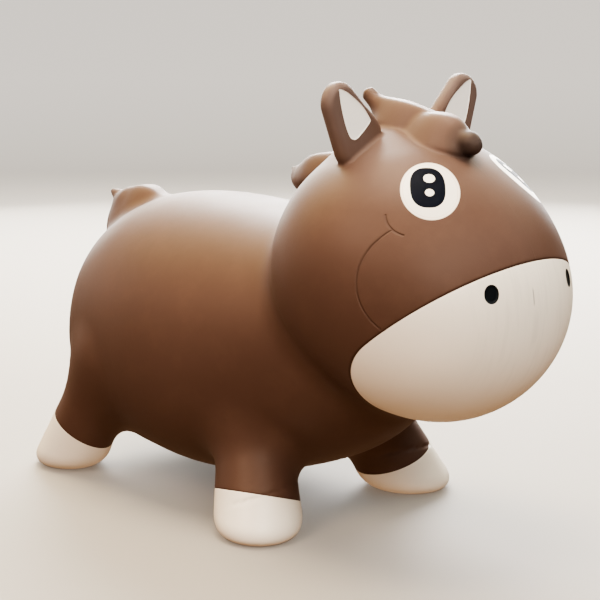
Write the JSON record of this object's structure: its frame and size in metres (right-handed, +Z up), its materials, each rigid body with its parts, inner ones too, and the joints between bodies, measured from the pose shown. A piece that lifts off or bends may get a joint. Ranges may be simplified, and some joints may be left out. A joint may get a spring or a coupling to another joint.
{
  "type": "inflatable ride-on hopper horse",
  "caption": "Inflatable soft-PVC hopper horse for a toddler to sit on and bounce, with ears to hold, stub legs, a muzzle, mane locks, a tail and a belly valve.",
  "frame": {"origin": "on the floor, under the middle of the toy's bounding box", "axes": "+X forward through the nose, +Y to the horse's left, +Z up"},
  "size_m": [0.623, 0.3008, 0.4442],
  "materials": {
    "hide": "satin",
    "white_paint": "satin",
    "ink": "satin",
    "valve": "matte"
  },
  "bodies": {
    "body": {"torso_shell": "hide", "head_shell": "hide", "muzzle_shell": "white_paint", "forelock": "hide", "poll_lock": "hide", "nape_lock": "hide", "valve_socket": "valve", "eye_white_left": "white_paint", "eye_white_right": "white_paint", "eye_pupil_left": "ink", "eye_pupil_right": "ink", "eye_glint_upper_left": "white_paint", "eye_glint_upper_right": "white_paint", "eye_glint_lower_left": "white_paint", "eye_glint_lower_right": "white_paint", "nostril_left": "ink", "nostril_right": "ink"},
    "front_leg_left": {"leg_front_left": "hide", "hoof_front_left": "white_paint"},
    "front_leg_right": {"leg_front_right": "hide", "hoof_front_right": "white_paint"},
    "rear_leg_left": {"leg_rear_left": "hide", "hoof_rear_left": "white_paint"},
    "rear_leg_right": {"leg_rear_right": "hide", "hoof_rear_right": "white_paint"},
    "left_ear": {"ear_left": "hide", "ear_lining_left": "white_paint"},
    "right_ear": {"ear_right": "hide", "ear_lining_right": "white_paint"},
    "tail_lock": {"tail": "hide"},
    "plug": {"valve_plug": "valve"}
  },
  "joints": [
    {"name": "front_left_squash", "type": "slide", "parent": "body", "child": "front_leg_left", "axis": [-0.3748, -0.286, 0.8819], "range_m": [0, 0.018], "stiffness_N_per_m": 4500, "springref_m": -0.002},
    {"name": "front_right_squash", "type": "slide", "parent": "body", "child": "front_leg_right", "axis": [-0.3748, 0.286, 0.8819], "range_m": [0, 0.018], "stiffness_N_per_m": 4500, "springref_m": -0.002},
    {"name": "rear_left_squash", "type": "slide", "parent": "body", "child": "rear_leg_left", "axis": [0.4948, -0.0446, 0.8679], "range_m": [0, 0.018], "stiffness_N_per_m": 4500, "springref_m": -0.002},
    {"name": "rear_right_squash", "type": "slide", "parent": "body", "child": "rear_leg_right", "axis": [0.4948, 0.0446, 0.8679], "range_m": [0, 0.018], "stiffness_N_per_m": 4500, "springref_m": -0.002},
    {"name": "left_ear_flop", "type": "hinge", "parent": "body", "child": "left_ear", "pos_m": [0.1366, 0.056, 0.3815], "axis": [0, 0.8417, -0.54], "range_deg": [-12, 12], "stiffness_Nm_per_rad": 0.8},
    {"name": "right_ear_flop", "type": "hinge", "parent": "body", "child": "right_ear", "pos_m": [0.1366, -0.056, 0.3815], "axis": [0, 0.8417, 0.54], "range_deg": [-12, 12], "stiffness_Nm_per_rad": 0.8},
    {"name": "tail_wag", "type": "hinge", "parent": "body", "child": "tail_lock", "pos_m": [-0.248, 0, 0.265], "axis": [-0.6058, 0, 0.7956], "range_deg": [-15, 15], "stiffness_Nm_per_rad": 0.8},
    {"name": "plug_pull", "type": "slide", "parent": "body", "child": "plug", "axis": [0, 0, -1], "range_m": [0, 0.012]}
  ]
}
